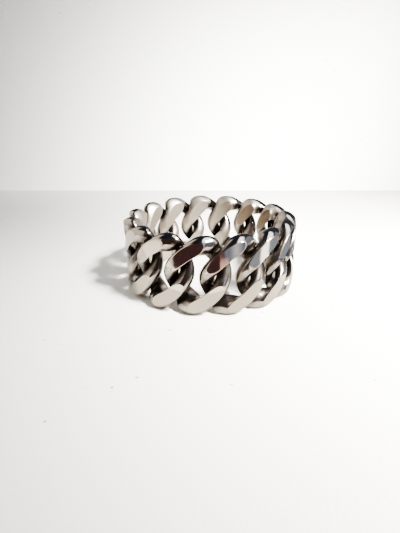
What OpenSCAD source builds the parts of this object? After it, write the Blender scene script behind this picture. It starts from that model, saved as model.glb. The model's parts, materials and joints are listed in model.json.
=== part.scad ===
// Heavy curb chain finger ring lying on its side.
// Fifteen closed links of thick oval wire are woven into a loop around the Z axis.
// The loop is then filed to two true cylinders, which leaves the long flat faces
// on the outside and the smooth faces that touch the finger on the inside.
// Units are millimetres, +Z is up, -Y is the front, the ring rests on Z = 0.

/* [Ring] */
// Clear diameter for the finger, across the filed inner faces
finger_diameter = 18.8; // [17:0.1:21]
// Radial thickness of the band between the inner and outer filed faces
band_thickness = 2.35; // [2.2:0.05:2.5]
// Height of the band along the finger
band_height = 9.9; // [9.2:0.1:11]
// Angle of the first link's middle, measured from the front towards +X
first_link_angle = -32.4; // [-180:0.1:180]

/* [Wire] */
// Width of the oval wire at a link's two ends, seen square on to the band
wire_width = 1.9; // [1.7:0.05:2]
// Width of the oval wire in a link's top and bottom lobes
lobe_width = 2.35; // [1.9:0.05:2.4]
// Depth of the oval wire, through the band, before filing
wire_depth = 1.55; // [1.4:0.05:1.65]
// Gap left between two links where they cross or pass side by side
link_clearance = 0.05; // [0.03:0.01:0.15]

/* [Link shape] */
// How far the top of a link is pulled ahead of its middle, half way through the band
lean = 0.7; // [0:0.05:2]
// Extra lean at the outer filed face, taken away again at the inner one
lean_twist = 1.4; // [0:0.05:1.6]
// How much less both filed faces lean than the middle of the band
lean_bow = 0.4; // [0:0.05:1]
// Share of the lean that grows evenly with height, the rest crowds to the edges
lean_evenness = 0.8; // [0:0.05:1]
// Flatness of the top and bottom lobes, 0 for a plain oval
lobe_flatness = 0.105; // [0:0.005:0.11]
// Flatness of the two ends, 0 for a plain oval
end_flatness = 0.07; // [0:0.01:0.1]
// How early the wire dives under its neighbour, 0 for a plain wave
dive = 0.28; // [0:0.01:0.3]

/* [Detail] */
// Rings of points along each link's wire
ring_steps = 40; // [24:4:48]
// Sides of the wire's oval section
section_sides = 12; // [8:4:16]

/* [Hidden] */
NODES = ["link_01", "link_02", "link_03", "link_04", "link_05",
         "link_06", "link_07", "link_08", "link_09", "link_10",
         "link_11", "link_12", "link_13", "link_14", "link_15"];

silver = [0.78, 0.77, 0.75];
// fineness of the two filing cylinders when drawn as a mesh
file_fn = 180;
// how far the filing tube stands clear of the wire at its top and bottom
file_reach = 1;

link_count = len(NODES);
link_step = 360 / link_count;
inner_radius = finger_diameter / 2;
outer_radius = inner_radius + band_thickness;
mid_radius = (inner_radius + outer_radius) / 2;
// length of one link's share of the band, along its middle
pitch = 2 * PI * mid_radius / link_count;
// neighbours' ends pass side by side, one wire width and one gap apart
half_length = (pitch + wire_width + link_clearance) / 2;
// top of the wire's middle line
half_rise = (band_height - lobe_width) / 2;
// the crossing wires lie one over the other, each tilted by its dive
dive_tilt = 1.12;
weave = (wire_depth / 2 + link_clearance / 2) * dive_tilt;

// middle line of a link laid out flat: along the band, up, and outwards
function line_point(t) = [
    half_length * (cos(t) + end_flatness * cos(3 * t)) / (1 + end_flatness),
    half_rise * (sin(t) + lobe_flatness * sin(3 * t)) / (1 - lobe_flatness),
    -weave * (sin(2 * t) + dive * sin(4 * t))];

function unit(v) = v / norm(v);

// the wire swells from its ends to its lobes
function half_width(t) = (wire_width + (lobe_width - wire_width) * pow(sin(t), 2)) / 2;

// a point of the oval section: s = 0 lies across the wire, s = 90 through it
function skin_point(t, s) =
    let (step = 0.5,
         along = unit(line_point(t + step) - line_point(t - step)),
         across = unit(cross(along, [0, 0, 1])),
         through = cross(across, along))
    line_point(t) + half_width(t) * cos(s) * across + wire_depth / 2 * sin(s) * through;

// the lean slides every point along the band, the same way for every link,
// so two links that clear each other before it still do after it
function lean_at(p) =
    let (up = p[1] / half_rise, out = p[2] / (band_thickness / 2))
    lean * (lean_evenness * up + (1 - lean_evenness) * pow(up, 3))
        + (lean_twist * out - lean_bow * pow(out, 2)) * up;

// bends a flat point around the Z axis and stands the band on Z = 0
function wrapped(p, turn) =
    let (angle = turn + (p[0] + lean_at(p)) / mid_radius * 180 / PI, r = mid_radius + p[2])
    [r * sin(angle), -r * cos(angle), p[1] + band_height / 2];

module wire_loop(turn) {
    points = [for (i = [0:ring_steps - 1], j = [0:section_sides - 1])
        wrapped(skin_point(360 * i / ring_steps, 360 * j / section_sides), turn)];
    function corner(i, j) = (i % ring_steps) * section_sides + j % section_sides;
    faces = [for (i = [0:ring_steps - 1], j = [0:section_sides - 1], half = [0, 1])
        half == 0 ? [corner(i, j), corner(i + 1, j + 1), corner(i + 1, j)]
                  : [corner(i, j), corner(i, j + 1), corner(i + 1, j + 1)]];
    polyhedron(points, faces);
}

// what is left of the band after it is filed smooth outside and inside
module filed_band() {
    difference() {
        translate([0, 0, -file_reach])
            cylinder(r = outer_radius, h = band_height + 2 * file_reach, $fn = file_fn);
        translate([0, 0, -2 * file_reach])
            cylinder(r = inner_radius, h = band_height + 4 * file_reach, $fn = file_fn);
    }
}

module link(index) {
    color(silver)
        intersection() {
            wire_loop(first_link_angle + index * link_step);
            filed_band();
        }
}

link(0);  // link_01
link(1);  // link_02
link(2);  // link_03
link(3);  // link_04
link(4);  // link_05
link(5);  // link_06
link(6);  // link_07
link(7);  // link_08
link(8);  // link_09
link(9);  // link_10
link(10);  // link_11
link(11);  // link_12
link(12);  // link_13
link(13);  // link_14
link(14);  // link_15
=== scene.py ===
import json
import math

import bpy
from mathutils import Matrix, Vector


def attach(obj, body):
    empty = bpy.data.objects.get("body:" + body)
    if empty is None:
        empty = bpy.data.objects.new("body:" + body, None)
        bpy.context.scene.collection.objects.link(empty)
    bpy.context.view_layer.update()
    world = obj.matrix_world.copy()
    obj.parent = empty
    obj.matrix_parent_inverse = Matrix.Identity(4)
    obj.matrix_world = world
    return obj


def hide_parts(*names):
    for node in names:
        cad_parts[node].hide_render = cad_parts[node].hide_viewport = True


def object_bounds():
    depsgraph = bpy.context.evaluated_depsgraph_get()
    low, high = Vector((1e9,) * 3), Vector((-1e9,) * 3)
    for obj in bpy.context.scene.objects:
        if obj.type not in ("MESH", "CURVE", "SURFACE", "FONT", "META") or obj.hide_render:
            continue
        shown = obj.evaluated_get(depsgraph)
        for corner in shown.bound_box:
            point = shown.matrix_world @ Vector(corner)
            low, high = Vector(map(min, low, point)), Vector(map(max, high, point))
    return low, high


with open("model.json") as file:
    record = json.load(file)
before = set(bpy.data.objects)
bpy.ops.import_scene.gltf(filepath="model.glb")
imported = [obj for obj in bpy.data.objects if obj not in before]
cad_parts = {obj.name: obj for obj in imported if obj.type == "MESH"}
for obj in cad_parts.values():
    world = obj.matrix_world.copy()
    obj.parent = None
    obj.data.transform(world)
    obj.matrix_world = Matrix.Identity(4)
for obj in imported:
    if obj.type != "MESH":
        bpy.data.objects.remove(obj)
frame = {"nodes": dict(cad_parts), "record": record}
cadLow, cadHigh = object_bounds()
mm = 0.001
print("frame loaded")


def linear(hexColour):  # sRGB hex to linear RGBA
    channels = [int(hexColour[i:i + 2], 16) / 255 for i in (1, 3, 5)]
    return [c / 12.92 if c <= 0.04045 else ((c + 0.055) / 1.055) ** 2.4 for c in channels] + [1.0]


def addNode(tree, kind, settings=None, links=None):
    node = tree.nodes.new(kind)
    for name, value in (settings or {}).items():
        setattr(node, name, value)
    for key, value in (links or {}).items():
        socket = node.inputs[key]
        if isinstance(value, Field):
            value = value.socket
        if isinstance(value, bpy.types.NodeSocket):
            tree.links.new(value, socket)
        else:
            socket.default_value = value
    return node


class Field:  # a number flowing through a node tree, so that a formula reads as a formula
    def __init__(self, tree, socket):
        self.tree = tree
        self.socket = socket

    def math(self, operation, *others):
        values = dict(enumerate((self,) + others))
        node = addNode(self.tree, "ShaderNodeMath", {"operation": operation}, values)
        return Field(self.tree, node.outputs[0])

    def ramp(self, start, end):  # 0 at start, 1 at end, smooth between
        node = addNode(self.tree, "ShaderNodeMapRange", {"interpolation_type": "SMOOTHSTEP"},
                       {"Value": self, "From Min": start, "From Max": end})
        return Field(self.tree, node.outputs[0])

    def __add__(self, other):
        return self.math("ADD", other)

    def __sub__(self, other):
        return self.math("SUBTRACT", other)

    def __mul__(self, other):
        return self.math("MULTIPLY", other)

    def __truediv__(self, other):
        return self.math("DIVIDE", other)

    def __neg__(self):
        return self.math("MULTIPLY", -1.0)


def xyzOf(tree, vector):  # the three numbers of a vector
    split = addNode(tree, "ShaderNodeSeparateXYZ", links={0: vector})
    return [Field(tree, output) for output in split.outputs]


def blend(tree, share, below, above):  # one colour over another; 6, 7 and 2 are the colour sockets
    node = addNode(tree, "ShaderNodeMix", {"data_type": "RGBA"}, {"Factor": share, 6: below, 7: above})
    return node.outputs[2]


# the ring's own sizes, read from the frame where it gives them
fingerHole = next(mount for mount in frame["record"]["mounts"] if mount["name"] == "finger_hole")
linkNames = sorted(name for name in frame["nodes"] if name.startswith("link_"))
ring = {
    "links": len(linkNames),
    "outerRadius": 11.75 * mm,
    "innerRadius": fingerHole["dims"]["r_mm"] * mm,
    "height": cadHigh.z - cadLow.z,
    "firstLinkAngle": -32.4,  # degrees from the front towards +X
}

link = {
    "wireWidth": 1.9 * mm,  # at the link's two ends
    "lobeWidth": 2.35 * mm,  # at its top and bottom
    "wireDepth": 1.55 * mm,  # through the band, before filing
    "clearance": 0.05 * mm,
    "lean": 0.7 * mm,  # how far the top is pulled ahead of the middle
    "leanTwist": 1.4 * mm,  # extra lean at the outer face, taken away again at the inner one
    "leanBow": 0.4 * mm,  # how much less both faces lean than the middle of the band
    "leanEvenness": 0.8,  # share of the lean that grows evenly with height
    "lobeFlatness": 0.105,  # 0 for a plain oval
    "endFlatness": 0.07,
    "dive": 0.28,  # how early the wire dives under its neighbour
    "diveTilt": 1.12,  # room for the slant of the two wires where they cross
    "edgeSoftness": 0.10 * mm,  # how far the file's crisp edge is polished back
    "fileWaves": 0.011 * mm,  # a hand file never leaves a face quite true
    "fileWavesPerMm": 0.42,
    "wireWaves": 0.015 * mm,  # the wire's own unevenness
    "wireWavesPerMm": 0.4,
    "seamAngle": 168.0,  # degrees round the wire from the leading end, where it was soldered shut
    "seamWidth": 4.0,  # degrees
    "seamRelief": 0.05 * mm,
    "seamLumpsPerMm": 3.5,
    "stepsAround": 256,
    "sectionSides": 72,
    "rimPinch": 6.0,  # degrees, least half width left for the filed strip of faces
    "rimSpread": 2.0,  # how fast that strip widens where the file passes clear of the wire
    "filedFrom": -0.02,  # mm of metal taken off where a face starts to count as filed
    "filedTo": 0.06,  # and where it is filed all over
    "flankDepths": (0.95, 0.6),  # shares of the half thickness between which a side turns into a flank
    "flankRises": (1.05, 0.8),  # shares of the half rise between which the lobes' bright backs fade out
    "fingerSide": (0.1, -0.5),  # shares of the half thickness between which the finger's side starts
    "mergeWithin": 0.0005 * mm,
}


def linkTree():
    tree = bpy.data.node_groups.new("curbLink", "GeometryNodeTree")
    sizes = {
        "Outer Radius": ring["outerRadius"],
        "Inner Radius": ring["innerRadius"],
        "Band Height": ring["height"],
        "Wire Width": link["wireWidth"],
        "Lobe Width": link["lobeWidth"],
        "Wire Depth": link["wireDepth"],
        "Link Clearance": link["clearance"],
        "Lean": link["lean"],
        "Lean Twist": link["leanTwist"],
        "Lean Bow": link["leanBow"],
        "Lean Evenness": link["leanEvenness"],
        "Lobe Flatness": link["lobeFlatness"],
        "End Flatness": link["endFlatness"],
        "Dive": link["dive"],
        "Dive Tilt": link["diveTilt"],
        "Edge Softness": link["edgeSoftness"],
        "File Waves": link["fileWaves"],
        "Wire Waves": link["wireWaves"],
        "Seam Angle": math.radians(link["seamAngle"]),
        "Seam Width": math.radians(link["seamWidth"]),
        "Seam Relief": link["seamRelief"],
        "Turn": 0.0,
        "Seed": 0.0,
    }
    counts = {
        "Links": ring["links"],
        "Steps Around": link["stepsAround"],
        "Section Sides": link["sectionSides"],
    }
    for kind, values in {"NodeSocketFloat": sizes, "NodeSocketInt": counts}.items():
        for name, value in values.items():
            socket = tree.interface.new_socket(name, in_out="INPUT", socket_type=kind)
            socket.default_value = value
    tree.interface.new_socket("Material", in_out="INPUT", socket_type="NodeSocketMaterial")
    tree.interface.new_socket("Geometry", in_out="OUTPUT", socket_type="NodeSocketGeometry")
    given = tree.nodes.new("NodeGroupInput")
    result = tree.nodes.new("NodeGroupOutput")

    def size(name):
        return Field(tree, given.outputs[name])

    def vector(x, y, z):
        return addNode(tree, "ShaderNodeCombineXYZ", links={0: x, 1: y, 2: z}).outputs[0]

    def vectorMath(operation, *values):
        node = addNode(tree, "ShaderNodeVectorMath", {"operation": operation}, dict(enumerate(values)))
        return node.outputs[0]

    def scaled(direction, distance):
        node = addNode(tree, "ShaderNodeVectorMath", {"operation": "SCALE"},
                       {0: direction, "Scale": distance})
        return node.outputs[0]

    def unevenness(place, amount, wavesPerMm, detail=1.0):  # either way, and new on each link
        noise = addNode(tree, "ShaderNodeTexNoise", {"noise_dimensions": "4D"}, {
            "Vector": place, "W": size("Seed"), "Scale": wavesPerMm / mm, "Detail": detail})
        return (Field(tree, noise.outputs[0]) - 0.5) * 2.0 * amount

    # a flat grid, one way along the wire and the other way round its section
    grid = addNode(tree, "GeometryNodeMeshGrid", links={
        "Size X": 1.0, "Size Y": 1.0,
        "Vertices X": size("Steps Around") + 1, "Vertices Y": size("Section Sides") + 1})
    gridX, gridY = xyzOf(tree, tree.nodes.new("GeometryNodeInputPosition").outputs[0])[:2]
    along = (gridX + 0.5) * math.tau
    around = (gridY + 0.5) * math.tau

    # sizes that follow from the others, as in the solid model
    thickness = size("Outer Radius") - size("Inner Radius")
    midRadius = (size("Outer Radius") + size("Inner Radius")) * 0.5
    fullTurn = addNode(tree, "ShaderNodeMath", {"operation": "DIVIDE"}, {0: math.tau, 1: size("Links")})
    linkStep = Field(tree, fullTurn.outputs[0])
    pitch = midRadius * linkStep
    halfLength = (pitch + size("Wire Width") + size("Link Clearance")) * 0.5
    halfRise = (size("Band Height") - size("Lobe Width")) * 0.5
    weave = (size("Wire Depth") + size("Link Clearance")) * 0.5 * size("Dive Tilt")
    lengthScale = halfLength / (size("End Flatness") + 1.0)
    riseScale = halfRise / (-size("Lobe Flatness") + 1.0)

    # middle line of the wire on the unrolled band, and its direction
    sine = {waves: (along * waves).math("SINE") for waves in (1, 2, 3, 4)}
    cosine = {waves: (along * waves).math("COSINE") for waves in (1, 2, 3, 4)}
    line = vector((cosine[1] + cosine[3] * size("End Flatness")) * lengthScale,
                  (sine[1] + sine[3] * size("Lobe Flatness")) * riseScale,
                  -(sine[2] + sine[4] * size("Dive")) * weave)
    slopes = vector(-(sine[1] + sine[3] * size("End Flatness") * 3) * lengthScale,
                    (cosine[1] + cosine[3] * size("Lobe Flatness") * 3) * riseScale,
                    -(cosine[2] * 2 + cosine[4] * size("Dive") * 4) * weave)
    heading = vectorMath("NORMALIZE", slopes)
    across = vectorMath("NORMALIZE", vectorMath("CROSS_PRODUCT", heading, (0, 0, 1)))
    through = vectorMath("CROSS_PRODUCT", across, heading)
    swell = sine[1] * sine[1]
    halfWidth = (size("Wire Width") + (size("Lobe Width") - size("Wire Width")) * swell) * 0.5
    halfDepth = size("Wire Depth") * 0.5

    def skinPoint(acrossBy, throughBy):  # a point of the wire's skin, off its middle line
        offset = vectorMath("ADD", scaled(across, acrossBy), scaled(through, throughBy))
        return vectorMath("ADD", line, offset)

    # where the file cuts the oval: the angle from its crest to the rim, kept on one line of the grid
    quarter = math.pi / 4
    lineOut = xyzOf(tree, line)[2]
    throughOut = xyzOf(tree, through)[2]
    face = around.math("SINE").math("SIGN")
    cut = (thickness * 0.5 - face * lineOut) / (halfDepth * throughOut)
    rim = cut.math("MINIMUM", 1.0).math("MAXIMUM", -1.0).math("ARCCOSINE")
    uncut = (cut - 1.0) * link["rimSpread"] + math.radians(link["rimPinch"])
    rim = rim.math("MAXIMUM", uncut.math("MAXIMUM", 0.0).math("MINIMUM", quarter))
    fromCrest = around.math("SINE").math("ABSOLUTE").math("MINIMUM", 1.0).math("ARCCOSINE")
    onFace = fromCrest.math("MINIMUM", quarter) / quarter
    onSide = (fromCrest - quarter).math("MAXIMUM", 0.0) / quarter
    turnFromCrest = onFace * rim + onSide * (-rim + math.pi / 2)

    # small unevenness of a wire bent and soldered by hand
    seam = (along - size("Seam Angle")) / size("Seam Width")
    seam = (-(seam * seam)).math("EXPONENT")
    evenSkin = skinPoint(around.math("COSINE") * halfWidth, around.math("SINE") * halfDepth)
    grow = unevenness(line, size("Wire Waves"), link["wireWavesPerMm"])
    grow = grow + unevenness(evenSkin, size("Seam Relief"), link["seamLumpsPerMm"], detail=2.0) * seam
    skin = skinPoint(around.math("COSINE").math("SIGN") * turnFromCrest.math("SINE") * (halfWidth + grow),
                     face * turnFromCrest.math("COSINE") * (halfDepth + grow))
    ahead, rise, out = xyzOf(tree, skin)

    # the lean, then the file, then the bend round the finger
    up = rise / halfRise
    outShare = out / (thickness * 0.5)
    evenness = size("Lean Evenness")
    leaning = size("Lean") * (evenness * up + (-evenness + 1.0) * up * up * up)
    leaning = leaning + (size("Lean Twist") * outShare - size("Lean Bow") * outShare * outShare) * up
    wave = unevenness(skin, size("File Waves"), link["fileWavesPerMm"])
    outerLimit = thickness * 0.5 + wave
    innerLimit = thickness * -0.5 - wave
    filed = out.math("SMOOTH_MIN", outerLimit, size("Edge Softness"))
    filed = filed.math("SMOOTH_MAX", innerLimit, size("Edge Softness"))
    angle = size("Turn") + (ahead + leaning) / midRadius
    radius = midRadius + filed
    bent = vector(radius * angle.math("SINE"), -(radius * angle.math("COSINE")),
                  rise + size("Band Height") * 0.5)

    # marks for the silver's finish, stored while the grid is still flat, because each is worked
    # out from its places
    marks = {
        "filedOutside": ((out - outerLimit) / mm).ramp(link["filedFrom"], link["filedTo"]),
        "filedInside": ((innerLimit - out) / mm).ramp(link["filedFrom"], link["filedTo"]),
        "solderSeam": seam,
        "flank": (outShare.math("ABSOLUTE").ramp(*link["flankDepths"])
                  * up.math("ABSOLUTE").ramp(*link["flankRises"])),
        "innerSide": outShare.ramp(*link["fingerSide"]),
    }
    marked = grid.outputs[0]
    for name, value in marks.items():
        marked = addNode(tree, "GeometryNodeStoreNamedAttribute", {"data_type": "FLOAT", "domain": "POINT"},
                         {"Geometry": marked, "Name": name, "Value": value}).outputs[0]
    shaped = addNode(tree, "GeometryNodeSetPosition", links={"Geometry": marked, "Position": bent}).outputs[0]

    # how near the two neighbouring links come, for the dark tarnish that stays between them
    joined = tree.nodes.new("GeometryNodeJoinGeometry")
    for turn in (linkStep, -linkStep):
        neighbour = addNode(tree, "GeometryNodeTransform", links={
            "Geometry": shaped, "Rotation": vector(0.0, 0.0, turn)})
        tree.links.new(neighbour.outputs[0], joined.inputs[0])
    nearest = addNode(tree, "GeometryNodeProximity", {"target_element": "FACES"},
                      {"Geometry": joined.outputs[0]})
    gap = Field(tree, nearest.outputs["Distance"]) / mm
    kept = addNode(tree, "GeometryNodeStoreNamedAttribute", {"data_type": "FLOAT", "domain": "POINT"},
                   {"Geometry": shaped, "Name": "gapToNeighbour", "Value": gap})

    closed = addNode(tree, "GeometryNodeMergeByDistance", links={
        "Geometry": kept.outputs[0], "Distance": link["mergeWithin"]})
    smooth = addNode(tree, "GeometryNodeSetShadeSmooth", links={"Geometry": closed.outputs[0]})
    real = addNode(tree, "GeometryNodeRealizeInstances", links={"Geometry": smooth.outputs[0]})
    finished = addNode(tree, "GeometryNodeSetMaterial", links={
        "Geometry": real.outputs[0], "Material": given.outputs["Material"]})
    tree.links.new(finished.outputs[0], result.inputs["Geometry"])
    return tree


silverLook = {
    "metal": "#F6E8D3",
    "unfiled": "#C6BBAE",  # the wire between the filed faces, dulled by handling
    "inside": "#6B5E50",  # painted shade: the inner filed faces darken towards +X, where they turn away from the window lamp
    "insideFrom": -1.0,  # mm across the ring
    "insideTo": 4.5,
    "tarnish": "#3B332D",
    "tarnishFrom": 0.55,  # mm to the next link where tarnish is full
    "tarnishTo": 1.5,  # mm where it has been polished away
    "tarnishPatches": 0.3,  # mm by which its edge wanders
    "flankTarnish": 0.85,  # the open sides of the wire are less dark than where links touch
    "fingerRub": 0.9,  # share of the flanks' tarnish that the finger has rubbed off
    "seamTarnish": 0.8,
    "seamPatches": (0.45, 0.55),  # the patches' tones between which the seam goes dark
    "polish": 0.06,  # roughness of the filed outer faces
    "wirePolish": 0.10,
    "insidePolish": 0.40,  # the inside is only rubbed smooth
    "tarnishRoughness": 0.26,
    "grainRoughness": 0.06,
    "leastRoughness": 0.03,
    "patterns": {  # spacings in mm, detail as steps of finer noise
        "patches": {"spacing": 0.5, "detail": 3.0, "stretch": (1, 1, 1)},
        "grain": {"spacing": 0.25, "detail": 4.0, "stretch": (1, 1, 1)},
        "scratches": {"spacing": 0.12, "detail": 2.0, "stretch": (1, 1, 0.12)},
    },
    "scratchTones": (0.62, 0.75),  # only the pattern's brightest streaks are scratches
    "scratchDepth": 0.25,
    "grainHeight": 0.35,
    "reliefStrength": 0.25,
    "relief": 0.004 * mm,
}


def makeSilver():
    # sterling silver, filed, buffed and left dark in its recesses: a bright mirror on the
    # outer faces, a softer sheen inside and a warm black where links pass each other
    material = bpy.data.materials.new("polished sterling silver")
    material.use_nodes = True
    tree = material.node_tree
    shader = tree.nodes["Principled BSDF"]
    shader.inputs["Metallic"].default_value = 1.0

    marks = {}
    for name in ("filedOutside", "filedInside", "innerSide", "flank", "solderSeam", "gapToNeighbour"):
        attribute = addNode(tree, "ShaderNodeAttribute", {"attribute_name": name})
        marks[name] = Field(tree, attribute.outputs["Fac"])
    place = tree.nodes.new("ShaderNodeTexCoord").outputs["Object"]
    patterns = {}
    for name, look in silverLook["patterns"].items():
        mapped = addNode(tree, "ShaderNodeMapping", links={"Vector": place, "Scale": look["stretch"]})
        noise = addNode(tree, "ShaderNodeTexNoise", links={
            "Vector": mapped.outputs[0], "Scale": 1 / (look["spacing"] * mm), "Detail": look["detail"]})
        patterns[name] = Field(tree, noise.outputs[0])

    # tarnish stays near the next link and on the flanks, and the file takes it off
    filed = marks["filedOutside"].math("MAXIMUM", marks["filedInside"])
    gap = marks["gapToNeighbour"] + (patterns["patches"] - 0.5) * silverLook["tarnishPatches"]
    unrubbed = marks["innerSide"] * -silverLook["fingerRub"] + 1.0
    flank = marks["flank"] * silverLook["flankTarnish"] * unrubbed
    tarnish = gap.ramp(silverLook["tarnishTo"], silverLook["tarnishFrom"]).math("MAXIMUM", flank)
    tarnish = tarnish * (-filed + 1.0)
    spots = patterns["patches"].ramp(*silverLook["seamPatches"]) * silverLook["seamTarnish"]
    tarnish = tarnish.math("MAXIMUM", marks["solderSeam"] * spots)

    # unfiled wire first, then bright metal, the painted shade on the inner faces towards +X and the tarnish,
    # each over the last
    across = xyzOf(tree, place)[0]
    # painted shade: the inner filed faces grow darker across the ring towards +X, away from the window lamp
    paintedInsideShade = across.ramp(silverLook["insideFrom"] * mm, silverLook["insideTo"] * mm) * marks["filedInside"]
    colour = linear(silverLook["unfiled"])
    for share, name in ((filed, "metal"), (paintedInsideShade, "inside"), (tarnish, "tarnish")):
        colour = blend(tree, share, colour, linear(silverLook[name]))
    tree.links.new(colour, shader.inputs["Base Color"])

    grain = patterns["grain"]
    bare = -marks["filedOutside"] + 1.0
    roughness = bare * (silverLook["wirePolish"] - silverLook["polish"]) + silverLook["polish"]
    satin = marks["innerSide"] * bare * (silverLook["insidePolish"] - silverLook["wirePolish"])
    roughness = roughness + satin + (grain - 0.5) * silverLook["grainRoughness"]
    roughness = roughness * (-tarnish + 1.0) + tarnish * silverLook["tarnishRoughness"]
    roughness = roughness.math("MAXIMUM", silverLook["leastRoughness"])
    tree.links.new(roughness.socket, shader.inputs["Roughness"])

    scratches = patterns["scratches"].ramp(*silverLook["scratchTones"])
    height = scratches * -silverLook["scratchDepth"] + grain * silverLook["grainHeight"]
    bump = addNode(tree, "ShaderNodeBump", links={
        "Strength": silverLook["reliefStrength"], "Distance": silverLook["relief"], "Height": height})
    tree.links.new(bump.outputs[0], shader.inputs["Normal"])
    return material


silver = makeSilver()
curbLink = linkTree()
inputs = {item.name: item.identifier for item in curbLink.interface.items_tree if item.in_out == "INPUT"}
print("silver and link tree made")


def buildLink(index, name):
    host = bpy.data.objects.new("host", bpy.data.meshes.new("host"))
    bpy.context.collection.objects.link(host)
    modifier = host.modifiers.new("links", "NODES")
    modifier.node_group = curbLink
    modifier[inputs["Turn"]] = math.radians(ring["firstLinkAngle"] + 360 / ring["links"] * index)
    modifier[inputs["Seed"]] = float(index)
    modifier[inputs["Material"]] = silver
    depsgraph = bpy.context.evaluated_depsgraph_get()
    mesh = bpy.data.meshes.new_from_object(
        host.evaluated_get(depsgraph), preserve_all_data_layers=True, depsgraph=depsgraph)
    host.modifiers.clear()
    bpy.data.objects.remove(host)
    piece = bpy.data.objects.new("silver_" + name, mesh)
    bpy.context.collection.objects.link(piece)
    return piece


for index, name in enumerate(linkNames):
    piece = buildLink(index, name)
    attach(piece, "root")
    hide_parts(name)
print("links built")

# the paper that the ring lies on and the board behind it
room = {
    "paper": "#E2E1DD",
    # painted light: the board is whiter than the floor paper, standing in for the stronger light on the wall
    "board": "#FCFBF8",
    "speck": "#8A857E",
    "speckSpacing": 2.2,  # mm
    "speckPick": (0.8, 0.9),  # only cells with a higher number than this have a speck
    "speckEdge": (0.09, 0.05),  # its size, as a share of the spacing
    "fibreSpacing": 0.35,  # mm
    "fibreDetail": 4.0,
    "fibreRelief": 0.10 * mm,
    "fibreStrength": 0.6,
    "paperRoughness": 0.9,
    "halfWidth": 600 * mm,
    "nearEdge": -21 * mm,  # of the floor that the mirror faces show
    "sideEdge": 17 * mm,
    "backEdge": 62 * mm,  # where the board stands
    "wallHeight": 100 * mm,
}


def makePaper(name, colour):
    # drawing paper: matt, faintly fibrous, with a few specks
    material = bpy.data.materials.new(name)
    material.use_nodes = True
    tree = material.node_tree
    shader = tree.nodes["Principled BSDF"]
    shader.inputs["Roughness"].default_value = room["paperRoughness"]
    place = tree.nodes.new("ShaderNodeTexCoord").outputs["Object"]
    cells = addNode(tree, "ShaderNodeTexVoronoi", links={
        "Vector": place, "Scale": 1 / (room["speckSpacing"] * mm)})
    pick = xyzOf(tree, cells.outputs["Color"])[0].ramp(*room["speckPick"])
    speck = Field(tree, cells.outputs["Distance"]).ramp(*room["speckEdge"]) * pick
    tone = blend(tree, speck, linear(colour), linear(room["speck"]))
    tree.links.new(tone, shader.inputs["Base Color"])
    fibre = addNode(tree, "ShaderNodeTexNoise", links={
        "Vector": place, "Scale": 1 / (room["fibreSpacing"] * mm), "Detail": room["fibreDetail"]})
    bump = addNode(tree, "ShaderNodeBump", links={
        "Strength": room["fibreStrength"], "Distance": room["fibreRelief"], "Height": fibre.outputs[0]})
    tree.links.new(bump.outputs[0], shader.inputs["Normal"])
    return material


def layPlane(name, corners, material, inMirrors):
    mesh = bpy.data.meshes.new(name)
    mesh.from_pydata(corners, [], [tuple(range(len(corners)))])
    mesh.materials.append(material)
    obj = bpy.data.objects.new(name, mesh)
    obj.visible_glossy = inMirrors
    bpy.context.collection.objects.link(obj)


def layRoom():
    paper = makePaper("matt white paper", room["paper"])
    board = makePaper("white board painted lighter than the floor", room["board"])
    half = room["halfWidth"]
    near = room["nearEdge"]
    side = room["sideEdge"]
    back = room["backEdge"]
    top = room["wallHeight"]
    layPlane("floor", [(-half, near, 0), (side, near, 0), (side, back, 0), (-half, back, 0)],
             paper, inMirrors=True)
    # the floor at the right and in front, and the wall, stay out of the mirror faces, which show
    # the room's own bands of light there
    layPlane("floor_side", [(side, near, 0), (half, near, 0), (half, back, 0), (side, back, 0)],
             paper, inMirrors=False)
    layPlane("floor_front", [(-half, -half, 0), (half, -half, 0), (half, near, 0), (-half, near, 0)],
             paper, inMirrors=False)
    layPlane("backdrop", [(-half, back, 0), (half, back, 0), (half, back, top), (-half, back, top)],
             board, inMirrors=False)


layRoom()
print("paper and board laid")

camera = {
    "distance": 58.53 * mm,
    "elevation": 19.467,  # degrees above level
    "focal": 27.895,
    "shiftX": -0.01857,
    "shiftY": -0.0383,
    "clipStart": 0.002,
    "clipEnd": 10,
}


def placeCamera():
    elevation = math.radians(camera["elevation"])
    towards = Vector((0, -math.cos(elevation), math.sin(elevation)))
    lens = bpy.data.cameras.new("camera")
    lens.lens = camera["focal"]
    lens.shift_x = camera["shiftX"]
    lens.shift_y = camera["shiftY"]
    lens.clip_start = camera["clipStart"]
    lens.clip_end = camera["clipEnd"]
    obj = bpy.data.objects.new("camera", lens)
    obj.location = Vector((0, 0, ring["height"] / 2)) + towards * camera["distance"]
    obj.rotation_euler = (-towards).to_track_quat("-Z", "Y").to_euler()
    bpy.context.collection.objects.link(obj)
    bpy.context.scene.camera = obj


placeCamera()

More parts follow.
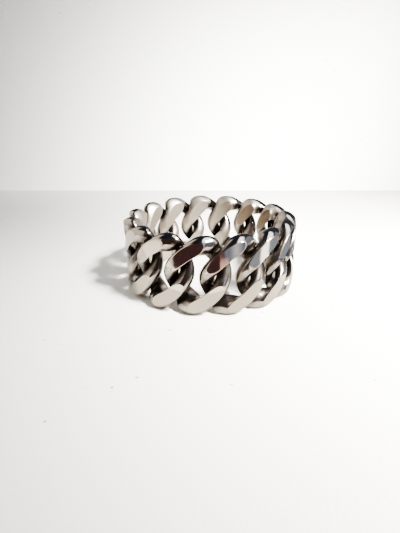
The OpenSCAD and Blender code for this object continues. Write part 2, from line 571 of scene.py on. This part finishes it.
# the room around, as the mirror faces see it: soft-edged bands of colour, each over the ones
# before it, with directions in degrees as a turn from the front towards +X and a lift from level
allLifts = (-99, 99)
allTurns = (-199, 199)
roomLight = {
    # far side of the room, beyond the ring
    "behind": {"colour": "#3A4150", "strength": 0.9, "turns": allTurns, "lifts": allLifts, "soft": 1.0},
    "left": {"colour": "#EFE6DA", "strength": 1.5, "turns": (-150, -48), "lifts": allLifts, "soft": 2.5},
    "right": {"colour": "#949EB2", "strength": 1.1, "turns": (52, 130), "lifts": allLifts, "soft": 2.5},
    "streak": {"colour": "#FFFFFF", "strength": 4.0, "turns": (69, 81), "lifts": allLifts, "soft": 2.0},
    "cool": {"colour": "#76819A", "strength": 1.0, "turns": (19, 52), "lifts": allLifts, "soft": 2.5},
    "haze": {"colour": "#E6EBF5", "strength": 1.5, "turns": (30, 37), "lifts": (-21.0, 99), "soft": 6.0},
    # the dim side of the room, behind the camera
    "dim": {"colour": "#4A3236", "strength": 0.7, "turns": (-48, 17), "lifts": allLifts, "soft": 2.5},
    "pink": {"colour": "#EDBCB2", "strength": 1.5, "turns": (13, 24), "lifts": (-99, -21.8), "soft": 0.8},
    "ceiling": {"colour": "#1A2033", "strength": 0.8, "turns": allTurns, "lifts": (46, 99), "soft": 8.0},
    # bright ceiling above and to the right
    "glow": {"colour": "#FFFFFF", "strength": 5.0, "turns": (20, 176), "lifts": (60, 88), "soft": 5.0},
}


def makeWorld():
    world = bpy.data.worlds.new("soft studio")
    world.use_nodes = True
    tree = world.node_tree
    x, y, z = xyzOf(tree, tree.nodes.new("ShaderNodeTexCoord").outputs["Generated"])
    lift = z.math("ARCSINE").math("DEGREES")
    turn = x.math("ARCTAN2", -y).math("DEGREES")
    colour = (0, 0, 0, 1)
    for look in roomLight.values():
        mask = 1.0
        for value, (low, high) in ((turn, look["turns"]), (lift, look["lifts"])):
            soft = look["soft"]
            mask = value.ramp(low - soft, low + soft) * value.ramp(high + soft, high - soft) * mask
        lit = [channel * look["strength"] for channel in linear(look["colour"])[:3]] + [1.0]
        colour = blend(tree, mask, colour, lit)
    tree.links.new(colour, tree.nodes["Background"].inputs["Color"])
    bpy.context.scene.world = world
    world.cycles_visibility.diffuse = False  # the paper is lit by the lamps alone


makeWorld()

# places in metres, power in watts, spread in degrees; only the window shows in the mirror faces
lamps = {
    "window": {
        "place": (0.12, -0.08, 0.14), "target": (0.035, -0.01, 0), "size": 0.06,
        "power": 0.45, "spread": 26, "colour": "#FFFCF6", "inMirrors": True},
    "wall wash": {
        "place": (0.06, -0.01, 0.045), "target": (0.015, 0.062, 0.01), "size": 0.06,
        "power": 0.26, "spread": 52, "colour": "#FFFEFA", "inMirrors": False},
    "fill": {
        "place": (-0.10, -0.15, 0.35), "target": (0, 0, 0), "size": 0.30,
        "power": 0.9, "spread": 180, "colour": "#FFFDF8", "inMirrors": False},
}
for name, look in lamps.items():
    lamp = bpy.data.lights.new(name, "AREA")
    lamp.size = look["size"]
    lamp.energy = look["power"]
    lamp.spread = math.radians(look["spread"])
    lamp.color = linear(look["colour"])[:3]
    obj = bpy.data.objects.new(name, lamp)
    obj.location = look["place"]
    aim = Vector(look["target"]) - Vector(look["place"])
    obj.rotation_euler = aim.to_track_quat("-Z", "Y").to_euler()
    obj.visible_glossy = look["inMirrors"]
    bpy.context.collection.objects.link(obj)
print("camera and light set")
